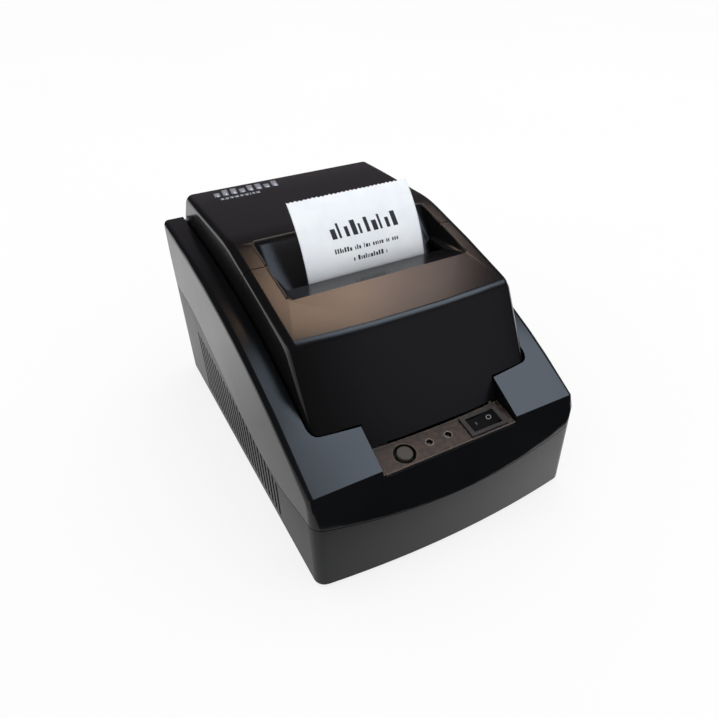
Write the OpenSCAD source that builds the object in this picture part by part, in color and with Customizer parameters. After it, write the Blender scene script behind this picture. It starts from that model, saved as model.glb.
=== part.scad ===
// Receipt printer for 58 mm thermal paper.
// Frame: X to the right, Y to the rear, Z up; the origin is the middle of the footprint, on the plane
// of the rubber feet. All lengths are in millimetres.

/* [Casing] */
// Overall width of the casing
case_w = 128; // [124:1:134]
// Overall depth of the casing
case_d = 188; // [186:1:190]
// How far the front face bows out between its corners
front_bow = 4.5; // [3.5:0.5:5.5]
// Radius of the upright corners
corner_r = 5; // [4.5:0.5:5.5]
// Wall thickness of the moulded shells
wall = 2.4; // [2.2:0.1:2.6]
// Height of the rubber feet
foot_h = 2; // [1.5:0.5:2]
// Width of the line between the upper and the lower casing
seam_gap = 0.4; // [0.2:0.1:0.6]

/* [Lid and front cover] */
// Width of the raised lid and front cover
lid_w = 104.6; // [103:0.2:105]
// Wall thickness of the lid and the front cover
lid_wall = 2.2; // [2:0.1:2.4]
// Gap between the lid and the front cover
lid_gap = 0.5; // [0.3:0.1:0.7]
// Width of the paper well, at its rim
well_w = 85.4; // [84:0.2:86]

/* [Paper] */
// Width of the paper
paper_w = 57.5; // [57:0.5:58]
// Radius of the full paper roll
roll_r = 37; // [30:1:37]
// Thickness of the modelled paper
paper_t = 0.2; // [0.1:0.05:0.2]
// Offset of the paper path from the middle of the casing
path_x = 1.2; // [0.8:0.1:1.4]

/* [Drive] */
// Radius of the platen roller
platen_r = 5.5; // [5:0.1:5.5]
// Number of teeth of the platen gear
platen_teeth = 16; // [16:2:16]
// Number of teeth of the idler gear
idler_teeth = 20; // [20:2:20]
// Number of teeth of the motor pinion
pinion_teeth = 12; // [12:1:12]

/* [Hidden] */
$fn = 48;

half_w = case_w / 2;
rear_y = case_d / 2;
front_y = -case_d / 2;
floor_z = foot_h + wall;

// Plan outline: a bowed front between two rounded corners
front_r = (half_w * half_w + front_bow * front_bow) / (2 * front_bow);
front_cy = front_y + front_r;
corner_x = half_w - corner_r;
front_turn = asin(corner_x / (front_r - corner_r));
front_corner_y = front_cy - (front_r - corner_r) * cos(front_turn);
rear_corner_y = rear_y - corner_r;

// Side seam: dips in the middle and climbs to the rear; the front seam hangs like a shallow smile
seam_low = 28;
seam_front_low = 29;
lean_slope = 0.3385;
lean_top_y = -87;
seam_split_y = -84;

// Top of the casing beside the lid
top_line_y = -67.5;
top_line_z = 60.9;
top_slope = 0.54;
top_rear_z = 94;
rear_bend_z = 57;
rear_top_y = rear_y - 4.1;
edge_r = 2.7;

// Control panel: a shallow sloping recess between two ears
panel_y = -88.4;
panel_z0 = 48.2;
panel_slope = 0.168;
panel_tilt = atan(panel_slope);
ear_x = 32.3;
panel_rear_y = -75.5;
recess_rear_y = -69.3;
recess_t = 3.3;

// Lid and front cover, outer profile
lid_half = lid_w / 2;
lid_bend = [-53.7, 93.1];
lid_slope = 0.236;
lid_flat_y = 6;
lid_flat_run = 16;
lid_rear_y = 80;
lid_back_y = rear_y - 3.8;
lid_bottom_z = 40;
face_slope = 2.01;
face_r = 457;
lid_edge_r = 3;
lid_side_r = 3.6;
lid_corner_r = 4.5;
lid_seam_top = [-6.7, 104];
lid_seam_lean = 0.367;
gutter_drop = 3;
gutter_front_z = 60.3;
tongue_gap = 0.35;
opening_gap = 0.8;

// Hinges
lid_hinge = [87.6, 91];
lid_barrel_r = 2.5;
lid_pin_r = 1.5;
lid_rear_low = lid_hinge[1] - 0.4;
lid_seat_r = lid_barrel_r + 0.4;
cover_hinge = [-60, 59.5];
cover_pin_r = 2;

// Paper well and slot
well_x = 1.1;
well_front_y = -29.5;
well_rear_y = 9.8;
well_draft = 3.7;
tear_y = -17.2;
tear_z = 96.6;
slot_y = -15.7;
slot_z = 96.4;
lip_y = -9.8;
lip_z = 88.6;

// Mechanism
plate_t = 1.5;
plate_in = 33;
base_z = 36;
base_top = base_z + plate_t;
platen = [-22, 82];
motor_c = [-38, 60];
gear_m = 1;
gear_w = 4;
gear_x = path_x - plate_in - plate_t - 5;
head_c = [-10.3, 76];
guide_r = 5.7;
web_r = guide_r + 0.3;
web_y = head_c[0] - web_r;
roll_c = [44, 64];
bucket_c = [44, 64 + 39.5 - roll_r - 0.1];
bucket_r = 39.5;
bucket_t = 1.8;
bucket_top = 84;
board_z = 9;
board_t = 1.6;
board_top = board_z + board_t;

// Fasteners
pilot_r = 1.25;
shank_r = 1.2;
hole_r = 1.7;
boss_r = 3.1;
post_r = 4.2;
guide_tube_r = 4.7;
panel_post_r = 2.2;
screw_seat_z = 8;
case_screw_x = 56.5;
case_screw_front = [-78, 27, 53.2];
case_screw_rear = [84, 48, 91.8];

// ---- curves ---------------------------------------------------------------------------------

function arc(c, r, a0, a1, n) = [for (i = [0:n]) let (a = a0 + (a1 - a0) * i / n) c + r * [cos(a), sin(a)]];
function smooth(t) = let (c = max(0, min(1, t))) c * c * (3 - 2 * c);
function span(a, b, n) = [for (i = [0:n]) a + (b - a) * i / n];
function reversed(v) = [for (i = [len(v) - 1:-1:0]) v[i]];
function bezier(p, n) = [for (i = [0:n]) let (t = i / n, u = 1 - t)
    u * u * u * p[0] + 3 * u * u * t * p[1] + 3 * u * t * t * p[2] + t * t * t * p[3]];

// Plan outline of the casing, moved inwards by d
function plan(d) = concat(
    [for (i = [-7:7]) let (a = front_turn * i / 8) [0, front_cy] + (front_r - d) * [sin(a), -cos(a)]],
    arc([corner_x, front_corner_y], corner_r - d, front_turn - 90, 0, 5),
    arc([corner_x, rear_corner_y], corner_r - d, 0, 90, 5),
    arc([-corner_x, rear_corner_y], corner_r - d, 90, 180, 5),
    arc([-corner_x, front_corner_y], corner_r - d, 180, 270 - front_turn, 5));

function seam_z(y) = seam_low + 8 * (1 - smooth((y + 90) / 40)) + 28.5 * smooth((y + 40) / 116);
function seam_front_z(x) = seam_front_low + (seam_z(seam_split_y) - seam_front_low) * pow(x / half_w, 2);

// Height of the casing's top surface at y
function top_z(y) = y < top_line_y
    ? top_line_z + top_slope * (y - top_line_y)
    : let (u = 1 - (y - top_line_y) / (rear_top_y - top_line_y - 0.4))
      top_rear_z - (top_rear_z - top_line_z) * (0.78 * u * u * u + 0.22 * u);
function panel_z(y) = panel_z0 + panel_slope * (y - panel_y);
function lean_y(z) = front_y - 0.2 + lean_slope * (z - seam_front_low);

// Height of the lid's top surface at y
function lid_top(y) = let (s = max(0, min(lid_flat_run, y - lid_flat_y)))
    lid_bend[1] + lid_slope * (min(y, lid_flat_y) - lid_bend[0])
    + lid_slope * (s - s * s / (2 * lid_flat_run));
function face_y(z) = lid_bend[0] - (lid_bend[1] - z) / face_slope;
function sag(x) = x * x / (2 * face_r);
well_foot = [well_rear_y - 0.6, lid_top(well_rear_y) - 2];
function lid_floor_z(y) = lip_z + (y - lip_y) * (well_foot[1] - lip_z) / (well_foot[0] - lip_y);
function lid_seam_y(z) = lid_seam_top[0] + lid_seam_lean * (lid_seam_top[1] - z);

// Casing profile from the side, moved in by d; above the front seam the front leans back
function body_profile(d) = concat(
    [[front_y - 6, -10], [rear_y - d, -10], [rear_y - d, rear_bend_z], [rear_top_y - d, top_rear_z - d]],
    [for (y = reversed(span(top_line_y, rear_top_y - 4 - d, 12))) [y, top_z(y) - d]],
    [[lean_top_y + d, top_z(lean_top_y) - d], [lean_y(seam_front_low) + d, seam_front_low]]);

// Lid profile from the side, moved in by d at the top and the rear, and by f at the front
function lid_profile(d, f) = concat(
    [[face_y(lid_bottom_z) + f, lid_bottom_z], [lid_back_y - d, lid_bottom_z], [lid_back_y - d, lid_hinge[1]],
     [lid_back_y - 0.4 - d, 95], [lid_rear_y + 1.6 - d, 107.2 - d], [lid_rear_y - 1.5 - d, 108.8 - d]],
    [for (y = [60, 20, 16, 13, 10, 6, -20]) [y, lid_top(y) - d]],
    [[lid_bend[0] + 2.2 + f, lid_top(lid_bend[0] + 2.2) - d],
     [lid_bend[0] + 0.55 + f, lid_bend[1] - 0.35 - d],
     [face_y(lid_bend[1] - 2.4 - d) + f, lid_bend[1] - 2.4 - d]]);

// Rows across the lid: half width, drop of the top and setback of the front
lid_rows = concat(
    [for (w = [16, 32, 42]) [w, 0, sag(w)]],
    [for (a = [0:22.5:90]) let (w = lid_half - lid_side_r * (1 - sin(a)))
        [w, lid_edge_r * (1 - cos(a)), sag(w) + lid_corner_r * (1 - cos(a))]]);

// Centre line p as a band of thickness t
function band(p, t) = let (
    n = len(p) - 1,
    side = [for (i = [0:n]) let (d = p[min(n, i + 1)] - p[max(0, i - 1)]) [-d[1], d[0]] / norm(d)])
    concat([for (i = [0:n]) p[i] + side[i] * t / 2], [for (i = [n:-1:0]) p[i] - side[i] * t / 2]);

// Trapezoid teeth around a circle; r is the pitch radius
function gear_outline(teeth, turn) = let (r = gear_m * teeth / 2, step = 360 / teeth)
    [for (k = [0:teeth - 1]) for (q = [[-0.36, -1.15], [-0.13, 0.85], [0.13, 0.85], [0.36, -1.15]])
        let (a = turn + step * (k + q[0])) (r + gear_m * q[1]) * [cos(a), sin(a)]];

// Centre of the idler: in mesh with the motor pinion and the platen gear
function meet(c0, r0, c1, r1) = let (
    d = norm(c1 - c0), u = (c1 - c0) / d, a = (r0 * r0 - r1 * r1 + d * d) / (2 * d))
    c0 + a * u + sqrt(r0 * r0 - a * a) * [u[1], -u[0]];
idler_c = meet(motor_c, gear_m * (pinion_teeth + idler_teeth) / 2,
    platen, gear_m * (platen_teeth + idler_teeth) / 2);
function heading(a, b) = atan2(b[1] - a[1], b[0] - a[0]);
function turn_in_mesh(turn_a, teeth_a, teeth_b, toward_b) = let (lead = toward_b - turn_a)
    toward_b + 180 + lead * teeth_a / teeth_b - 180 / teeth_b;
platen_turn = heading(platen, idler_c);
idler_turn = turn_in_mesh(platen_turn, platen_teeth, idler_teeth, platen_turn);
pinion_turn = turn_in_mesh(idler_turn, idler_teeth, pinion_teeth, heading(idler_c, motor_c));

// Paper: off the top of the roll, round the guide under the print head and up to the slot
web_span = norm(roll_c - head_c);
web_lean = heading(head_c, roll_c) + asin((web_r + roll_r + 0.2) / web_span);
web_leave = roll_c + (roll_r + 0.2) * [-sin(web_lean), cos(web_lean)];
web_path = concat(
    [[slot_y, slot_z - 0.4], [web_y, platen[1] + 6], [web_y, platen[1] - 3]],
    arc(head_c, web_r, 180, 270 + web_lean, 10), [web_leave]);
tail_path = bezier([[slot_y, slot_z], [-12.8, 107], [-8, 117], [2.1, 125.5]], 16);

// ---- helpers --------------------------------------------------------------------------------

// Extrudes a side-view outline (y, z) across X
module side_cut(pts, w, x = 0) translate([x, 0, 0]) rotate([90, 0, 90])
    linear_extrude(w, center = true) polygon(pts);
// Extrudes a front-view outline (x, z) from y0 to y1
module front_cut(pts, y0, y1) translate([0, y1, 0]) rotate([90, 0, 0]) linear_extrude(y1 - y0) polygon(pts);
module block(x, y, z) translate([x[0], y[0], z[0]]) cube([x[1] - x[0], y[1] - y[0], z[1] - z[0]]);
module post(p, r, z) translate([p[0], p[1], z[0]]) cylinder(r = r, h = z[1] - z[0]);
module rod(c, r, x) translate([x[0], c[0], c[1]]) rotate([0, 90, 0]) cylinder(r = r, h = x[1] - x[0]);
module both() { children(); mirror([1, 0, 0]) children(); }
module on_panel() translate([0, panel_y, panel_z0]) rotate([panel_tilt, 0, 0]) children();

// Everything under the casing seam, raised by h
module below_seam(h) {
    side_cut(concat([[seam_split_y, -20], [rear_y + 6, -20]],
        [for (y = span(rear_y + 6, seam_split_y, 36)) [y, seam_z(min(y, 76)) + h]]), case_w + 20);
    front_cut(concat([[-half_w - 6, -20], [half_w + 6, -20]],
        [for (x = span(half_w + 6, -half_w - 6, 20)) [x, seam_front_z(x) + h]]), front_y - 6, seam_split_y);
}

// Casing volume, moved inwards by d, from height z upwards
module casing(d, z) intersection() {
    translate([0, 0, z]) linear_extrude(120) polygon(plan(d));
    hull() for (a = [0:30:90])
        side_cut(body_profile(d * 1.1 + edge_r * (1 - cos(a))), 2 * (half_w - d - edge_r * (1 - sin(a))));
}

// Lid and front cover as one volume, moved inwards by d
module lid_volume(d) hull() for (row = lid_rows)
    side_cut(lid_profile(row[1] + d, row[2] + d * 1.1), 2 * (row[0] - d));

// Everything too low for the lid and the cover to reach
module below_gutter() side_cut(concat(
    [[front_y - 6, 20], [rear_y + 6, 20], [rear_y + 6, lid_rear_low], [84, lid_rear_low]],
    [for (y = span(84, -66, 24)) [y, top_z(y) - gutter_drop]],
    [[-66, gutter_front_z], [front_y - 6, gutter_front_z]]), case_w);

// Volume of the paper well in the front cover and in the lid, grown by d
module cover_well(d) hull() {
    side_cut([[well_front_y - d, lid_top(well_front_y) - d / 3], [14, lid_top(14)], [14, 120],
        [well_front_y - d, 120]], well_w + 2 * d, well_x);
    side_cut([[well_front_y - d, lid_top(well_front_y) - 0.2 - d], [tear_y, tear_z - d], [14, tear_z - d],
        [14, 120], [well_front_y - d, 120]], well_w - 2 * well_draft + 2 * d, well_x);
}
module lid_well(d) hull() {
    side_cut([[well_front_y, lid_top(well_front_y)], [well_rear_y + d, lid_top(well_rear_y)],
        [well_rear_y + d, 120], [well_front_y, 120]], well_w + 2 * d, well_x);
    side_cut([[well_front_y, lip_z - d * 1.4], [lip_y, lip_z - d * 1.4], [well_foot[0] + d, well_foot[1]],
        [well_rear_y + d, 120], [well_front_y, 120]], well_w - 2 * well_draft + 2 * d, well_x);
}

// ---- casing ---------------------------------------------------------------------------------

vent_pitch = 4.4;
vent_w = 2;
vent_y0 = -50.5;
vent_count = 25;
vent_z0 = 6;

module vents() for (i = [0:vent_count - 1]) let (y = vent_y0 + vent_pitch * i)
    block([-half_w - 1, -half_w + wall + 2], [y, y + vent_w], [vent_z0, 26 + 0.17 * (y - vent_y0)]);

// Lip of the lower casing: gap to the upper casing, and how far in it reaches
lip_gap = 0.55;
lip_t = 1.7;

module lower_case() color([0.16, 0.165, 0.18]) {
    difference() {
        union() {
            difference() {
                intersection() {
                    translate([0, 0, foot_h]) linear_extrude(70) polygon(plan(0));
                    below_seam(0);
                }
                translate([0, 0, floor_z]) linear_extrude(80) polygon(plan(wall));
            }
            // Lip that stands up inside the upper casing
            difference() {
                intersection() {
                    translate([0, 0, 20]) linear_extrude(44) difference() {
                        polygon(plan(wall - 0.1));
                        polygon(plan(wall + lip_t));
                    }
                    below_seam(-0.3);
                }
                below_seam(-4);
            }
            difference() {
                intersection() {
                    translate([0, 0, 20]) linear_extrude(44) difference() {
                        polygon(plan(wall + lip_gap));
                        polygon(plan(wall + lip_t));
                    }
                    below_seam(2.2);
                }
                below_seam(-1);
                // No lip behind the leaning front
                block([-half_w, half_w], [front_y - 1, front_y + 6], [20, 60]);
            }
            both() {
                for (s = [case_screw_front, case_screw_rear])
                    post([case_screw_x, s[0]], post_r, [foot_h + 1, s[1]]);
            }
            for (p = base_screws) post(p, 4, [foot_h + 1, base_z]);
            for (p = bucket_screws_at) post(p, 3.8, [foot_h + 1, bucket_flange_z]);
            for (p = board_screws_at) post(p, 3, [foot_h + 1, board_z]);
        }
        both() vents();
        both() for (s = [case_screw_front, case_screw_rear]) {
            post([case_screw_x, s[0]], 3, [foot_h - 1, screw_seat_z]);
            post([case_screw_x, s[0]], hole_r, [screw_seat_z - 1, s[1] + 1]);
        }
        for (p = base_screws) post(p, pilot_r, [base_z - 13, base_z + 1]);
        for (p = bucket_screws_at) post(p, pilot_r, [bucket_flange_z - 13, bucket_flange_z + 1]);
        for (p = board_screws_at) post(p, pilot_r, [5, board_z + 1]);
        for (s = sockets)
            block([s[0] - s[1] / 2 - 0.3, s[0] + s[1] / 2 + 0.3], [rear_y - wall - 1, rear_y + 1],
                [board_top - 0.3, board_top + s[2] + 0.3]);
    }
}

// Outline of the lid opening in plan: it follows the front cover with a small gap
opening_half = lid_half + opening_gap;
opening_y = face_y(gutter_front_z) - 0.7;
opening_front = concat(
    [for (row = reversed(lid_rows)) [-row[0] - opening_gap, opening_y + row[2]]],
    [for (row = lid_rows) [row[0] + opening_gap, opening_y + row[2]]]);

module upper_case() color([0.13, 0.14, 0.17]) difference() {
    union() {
        difference() {
            casing(0, 20);
            difference() {
                casing(wall, 19);
                // Floor and side walls of the panel recess
                side_cut([[front_y - 6, panel_z(front_y - 6) - recess_t],
                    [recess_rear_y, panel_z(recess_rear_y) - recess_t], [recess_rear_y, 90],
                    [front_y - 6, 90]], 2 * (ear_x + wall));
            }
        }
        both() {
            for (s = [case_screw_front, case_screw_rear])
                post([case_screw_x, s[0]], boss_r, [s[1] + 0.1, s[2]]);
            // Lugs for the front cover's trunnions and for the lid's pins
            side_cut([[-64.5, 54.5], [-55.5, 54.5], [-55.5, top_z(-55.5) - 1], [-64.5, top_z(-64.5) - 1]],
                4, lid_half + 3.3);
            side_cut([[84.6, 87], [89, 87], [89, 92.4], [84.6, 92.4]], 4.4, lid_half + 3.5);
        }
        // Guide tube of the feed button and posts of the control board
        on_panel() {
            post(button_at, guide_tube_r, [-8, -1]);
            for (p = panel_screws_at) post(p, panel_post_r, [-12.1, -1]);
        }
    }
    difference() {
        below_seam(seam_gap);
        for (s = [case_screw_front, case_screw_rear]) both()
            post([case_screw_x, s[0]], boss_r, [s[1] + 0.1, s[1] + 40]);
        on_panel() {
            post(button_at, guide_tube_r, [-9, -1]);
            for (p = panel_screws_at) post(p, panel_post_r, [-13, -1]);
        }
    }
    // Opening under the lid, and the round seat of the lid's hinge barrel
    translate([0, 0, 50]) linear_extrude(lid_hinge[1] - 50)
        polygon(concat(opening_front, [[opening_half, 86], [-opening_half, 86]]));
    translate([0, 0, lid_hinge[1] - lid_seat_r]) linear_extrude(20)
        polygon(concat(opening_front, [[opening_half, rear_y + 6], [-opening_half, rear_y + 6]]));
    rod(lid_hinge, lid_seat_r, [-opening_half, opening_half]);
    // Panel recess between the ears, with a pocket for the plate and a gap for the front cover's tongue
    side_cut([[front_y - 6, panel_z(front_y - 6)], [-66, panel_z(-66)], [-66, 90], [front_y - 6, 90]],
        2 * ear_x);
    translate([0, 0, 40]) linear_extrude(30) polygon(concat(
        [for (x = span(-ear_x, ear_x, 8)) [x, panel_rear_y + sag(x)]], [[ear_x, -60], [-ear_x, -60]]));
    on_panel() {
        block([plate_x[0] - 0.2, plate_x[1] + 0.2], [-6, 16], [-0.85, 1]);
        post(button_at, button_r + 0.08, [-9, 1]);
        post(button_at, 4.6, [-3, 1]);
        for (p = lens_at) post(p, lens_r + 0.1, [-5, 1]);
        for (p = panel_screws_at) post(p, 1.05, [-13, -4]);
        block([switch_x - switch_l / 2 - 0.1, switch_x + switch_l / 2 + 0.1],
            [switch_v - switch_b / 2 - 0.1, switch_v + switch_b / 2 + 0.1], [-6, 1]);
    }
    both() {
        post([case_screw_x, case_screw_front[0]], 1.35, [0, 44]);
        post([case_screw_x, case_screw_rear[0]], 1.35, [0, 64]);
        rod(cover_hinge, cover_pin_r + 0.05, [lid_half, lid_half + 4.6]);
        rod(lid_hinge, lid_pin_r + 0.06, [lid_half, lid_half + 4.8]);
    }
}

module rubber_feet() color([0.05, 0.05, 0.05]) both() for (y = [-76, 80]) post([44, y], 7, [0, foot_h]);

module case_screws() color("silver") both() for (s = [case_screw_front, case_screw_rear]) {
    post([case_screw_x, s[0]], 2.7, [screw_seat_z - 2, screw_seat_z]);
    post([case_screw_x, s[0]], 1.3, [screw_seat_z, s[1] + 13]);
}

module rating_plate() color([0.75, 0.75, 0.76]) block([-30, 30], [-20, 20], [foot_h - 0.3, foot_h]);

// ---- lid and front cover --------------------------------------------------------------------

// What lies behind the seam between the front cover and the lid, moved to the rear by g
module behind_seam(g) side_cut([[lid_seam_y(130) + g, 130], [lid_seam_y(30) + g, 30], [rear_y + 6, 30],
    [rear_y + 6, 130]], case_w);

module rear_lid() color([0.17, 0.155, 0.16]) difference() {
    union() {
        intersection() {
            difference() {
                lid_volume(0);
                difference() {
                    lid_volume(lid_wall);
                    lid_well(lid_wall);
                }
                lid_well(0);
                below_gutter();
            }
            behind_seam(lid_gap / 2);
        }
        // Lip that runs forward under the paper slot
        side_cut([[lip_y, lip_z - lid_wall], [1.5, lid_floor_z(1.5) - lid_wall],
            [1.5, lid_floor_z(1.5) - 0.02], [lip_y, lip_z - 0.02]],
            well_w - 2 * well_draft - 0.8, well_x);
        rod(lid_hinge, lid_barrel_r, [-lid_half, lid_half]);
        // Stiffening ribs under the lid
        for (x = [-40, 44]) side_cut([[24, 107.6], [72, 107.6], [72, 103], [24, 103]], 1.2, x);
    }
    both() rod(lid_hinge, lid_pin_r + 0.02, [45.5, lid_half + 1]);
}

module lid_hinge_pins() color("silver") both() rod(lid_hinge, lid_pin_r, [45.7, lid_half + 4.4]);

module front_cover() color([0.14, 0.145, 0.16]) {
    difference() {
        lid_volume(0);
        difference() {
            lid_volume(lid_wall);
            cover_well(lid_wall);
        }
        cover_well(0);
        behind_seam(-lid_gap / 2);
        // Only the middle tongue reaches down to the control panel
        difference() {
            below_gutter();
            side_cut([[front_y, panel_z(front_y) + tongue_gap], [-62, panel_z(-62) + tongue_gap], [-62, 70],
                [front_y, 70]], 2 * (ear_x - 0.5));
        }
        // Slot behind the tear edge
        side_cut([[tear_y, 80], [20, 80], [20, 120], [tear_y, 120]], well_w - 2 * well_draft, well_x);
    }
    both() {
        rod(cover_hinge, 4, [lid_half - lid_wall, lid_half]);
        rod(cover_hinge, cover_pin_r, [lid_half - lid_wall, lid_half + 4.2]);
    }
}

// Serrated steel strip under the rear edge of the well floor
tear_w = 64;
tear_teeth = 32;
module tear_bar() color("silver") translate([path_x - tear_w / 2, 0, tear_z - lid_wall * 1.1 - 0.6])
    linear_extrude(0.5) polygon(concat([[0, tear_y - 5], [0, tear_y + 0.2]],
        [for (i = [0:tear_teeth - 1]) for (q = [[0.5, 0.9], [1, 0.2]])
            [(i + q[0]) * tear_w / tear_teeth, tear_y + q[1]]],
        [[tear_w, tear_y - 5]]));

// ---- control panel --------------------------------------------------------------------------

plate_x = [-30.8, 31.4];
plate_v = 0.8;
plate_n = 0.8;
button_at = [-19.5, 6.6];
button_r = 3.5;
button_top = 0.5;
button_travel = 0.8;
button_foot = -9.6;
lens_at = [[-7.4, 7.3], [1.7, 7.3]];
lens_r = 1.35;
switch_x = 19.1;
switch_v = 6.9;
switch_l = 16.2;
switch_b = 9;
rocker_l = 6.6;
rocker_n = -2.5;
rocker_tilt = 8;
rocker_pin_r = 1.2;
panel_board_n = -13.6;
panel_screws_at = [[-26.5, 2.8], [6.5, 2.8]];

module control_panel_plate() color([0.4, 0.33, 0.28]) on_panel() difference() {
    translate([0, 0, -plate_n]) linear_extrude(plate_n) polygon(concat(
        [[plate_x[0], plate_v], [plate_x[1], plate_v]],
        [for (x = span(plate_x[1], plate_x[0], 8))
            [x, (panel_rear_y + sag(x) - panel_y) / cos(panel_tilt)]]));
    post(button_at, 4.9, [-2, 1]);
    for (p = lens_at) post(p, lens_r + 0.1, [-2, 1]);
    block([switch_x - switch_l / 2 - 0.1, switch_x + switch_l / 2 + 0.1],
        [switch_v - switch_b / 2 - 0.1, switch_v + switch_b / 2 + 0.1], [-2, 1]);
}

module feed_button() color([0.4, 0.38, 0.34]) on_panel() translate([button_at[0], button_at[1], 0]) {
    rotate_extrude() polygon([[0, -7], [button_r, -7], [button_r, button_top - 0.4],
        [button_r - 0.15, button_top - 0.1], [button_r - 0.45, button_top], [0, button_top]]);
    post([0, 0], 1.4, [button_foot, -7]);
}

// Coil of round wire, standing on z = 0
module coil(r, wire, turns, h) {
    per = 14;
    ring = 6;
    n = turns * per;
    polyhedron(
        points = [for (i = [0:n]) for (k = [0:ring - 1])
            let (a = 360 * i / per, b = 360 * k / ring, q = r + wire * cos(b))
            [q * cos(a), q * sin(a), wire + (h - 2 * wire) * i / n + wire * sin(b)]],
        faces = concat([[for (k = [0:ring - 1]) k]],
            [for (i = [0:n - 1]) for (k = [0:ring - 1])
                let (a = i * ring + k, b = i * ring + (k + 1) % ring) [a, a + ring, b + ring, b]],
            [[for (k = [ring - 1:-1:0]) n * ring + k]]));
}

module button_spring() color("silver") on_panel() translate([button_at[0], button_at[1], -10.9])
    coil(2.4, 0.25, 3, 3.8);

module indicator_lenses() color([0.85, 0.86, 0.82]) on_panel()
    for (p = lens_at) post(p, lens_r, [-9, -1.2]);

module indicator_leds() color([0.7, 0.85, 0.7]) on_panel() for (p = lens_at) {
    post(p, 1.5, [-12.1, -10.4]);
    translate([p[0], p[1], -10.4]) rotate_extrude() intersection() { circle(r = 1.2); square(2); }
}

module switch_housing() color([0.06, 0.06, 0.07]) on_panel() translate([switch_x, switch_v, 0])
    difference() {
        union() {
            block([-switch_l / 2, switch_l / 2], [-switch_b / 2, switch_b / 2], [-13, 0.1]);
            block([-9.25, 9.25], [-5.3, 5.3], [0.02, 0.8]);
        }
        block([-7.1, 7.1], [-3.7, 3.7], [-8, 2]);
        translate([0, 5, rocker_n]) rotate([90, 0, 0]) cylinder(r = rocker_pin_r + 0.05, h = 10);
    }

// Rocker, drawn level about its pivot; it rests with its left end pressed
module switch_rocker() color([0.05, 0.05, 0.05]) on_panel() translate([switch_x, switch_v, rocker_n])
    rotate([0, -rocker_tilt, 0]) {
        translate([0, 3.5, 0]) rotate([90, 0, 0]) linear_extrude(7) polygon(concat(
            [[-rocker_l, -1.6], [-4, -3], [4, -3], [rocker_l, -1.6], [rocker_l, 3.5]],
            [for (x = span(rocker_l - 0.4, -rocker_l + 0.4, 10)) [x, 2.6 + 0.9 * pow(x / rocker_l, 2)]],
            [[-rocker_l, 3.5]]));
        translate([0, 4.2, 0]) rotate([90, 0, 0]) cylinder(r = rocker_pin_r, h = 8.4);
    }

module switch_terminals() color([0.8, 0.7, 0.4]) on_panel() for (x = [-5, 0, 5])
    block([switch_x + x - 0.4, switch_x + x + 0.4], [switch_v - 2.2, switch_v + 2.2], [-17, -13]);

module control_board() color([0.1, 0.35, 0.18]) on_panel() difference() {
    block([-29, 9.5], [0.6, 12], [panel_board_n + 0.1, panel_board_n + 1.4]);
    for (p = panel_screws_at) post(p, 1.3, [-15, -11]);
}

module panel_screws() color("silver") on_panel() for (p = panel_screws_at) {
    post(p, 1, [-13.5, -9]);
    post(p, 2, [-15, -13.5]);
}

module tact_switch() color([0.2, 0.2, 0.2]) on_panel() translate([button_at[0], button_at[1], 0]) {
    block([-3, 3], [-3, 3], [panel_board_n + 1.4, -10.9]);
    post([0, 0], 1.2, [-11, button_foot - button_travel - 0.05]);
}

// ---- electronics ----------------------------------------------------------------------------

board_x = 34;
board_y = [4.6, 88];
board_screws_at = [[-30, 12], [30, 12], [-30, 70], [30, 70]];
// Sockets: middle, width, height
usb = [-16, 12, 11];
drawer = [4, 14, 12.5];
power = [22, 13, 11];
sockets = [usb, drawer, power];
socket_y = [78, 93.4];

module main_board() color([0.1, 0.35, 0.18]) difference() {
    block([-board_x, board_x], board_y, [board_z, board_top]);
    for (p = board_screws_at) post(p, hole_r, [board_z - 1, board_top + 1]);
}

module board_screws() color("silver") for (p = board_screws_at) {
    post(p, 2.6, [board_top, board_top + 1.8]);
    post(p, shank_r, [6, board_top]);
}

// Chips and connectors: position, size
board_chips = [
    [[-14, 34], [14, 14, 1.6]], [[8, 34], [8, 12, 1.4]], [[-14, 56], [10, 8, 1.6]],
    [[22, 44], [10, 9, 4.5]], [[-17, 7.6], [9, 5, 5.5]], [[-4, 7.6], [9, 5, 5.5]],
    [[30, 7.1], [6, 4, 5.5]], [[10, 22], [6, 6, 1.2]]
];
board_capacitors = [[20, 58], [10, 62], [-26, 24]];
module board_components() color([0.12, 0.12, 0.13]) {
    for (c = board_chips) block([c[0][0] - c[1][0] / 2, c[0][0] + c[1][0] / 2],
        [c[0][1] - c[1][1] / 2, c[0][1] + c[1][1] / 2], [board_top, board_top + c[1][2]]);
    for (p = board_capacitors) post(p, 3.2, [board_top, board_top + 9]);
}

module socket_body(s, h) difference() {
    block([s[0] - s[1] / 2, s[0] + s[1] / 2], socket_y, [board_top, board_top + s[2]]);
    children();
}
module usb_socket() color([0.75, 0.76, 0.78]) {
    socket_body(usb) block([usb[0] - 4.3, usb[0] + 4.3], [84, 94], [board_top + 1.4, board_top + 9.4]);
    block([usb[0] - 2.8, usb[0] + 2.8], [83.5, 92.4], [board_top + 3.8, board_top + 7]);
}
module drawer_socket() color([0.08, 0.08, 0.08]) socket_body(drawer) {
    block([drawer[0] - 4.9, drawer[0] + 4.9], [81, 94], [board_top + 2.2, board_top + 9.2]);
    block([drawer[0] - 2.2, drawer[0] + 2.2], [81, 94], [board_top + 9, board_top + 11]);
}
module power_socket() color([0.06, 0.06, 0.06]) {
    plug_z = board_top + 5.6;
    socket_body(power) translate([power[0], 95, plug_z]) rotate([90, 0, 0]) cylinder(r = 3.2, h = 11);
    translate([power[0], 92.4, plug_z]) rotate([90, 0, 0]) cylinder(r = 1, h = 9);
}

// ---- paper bay ------------------------------------------------------------------------------

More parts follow.
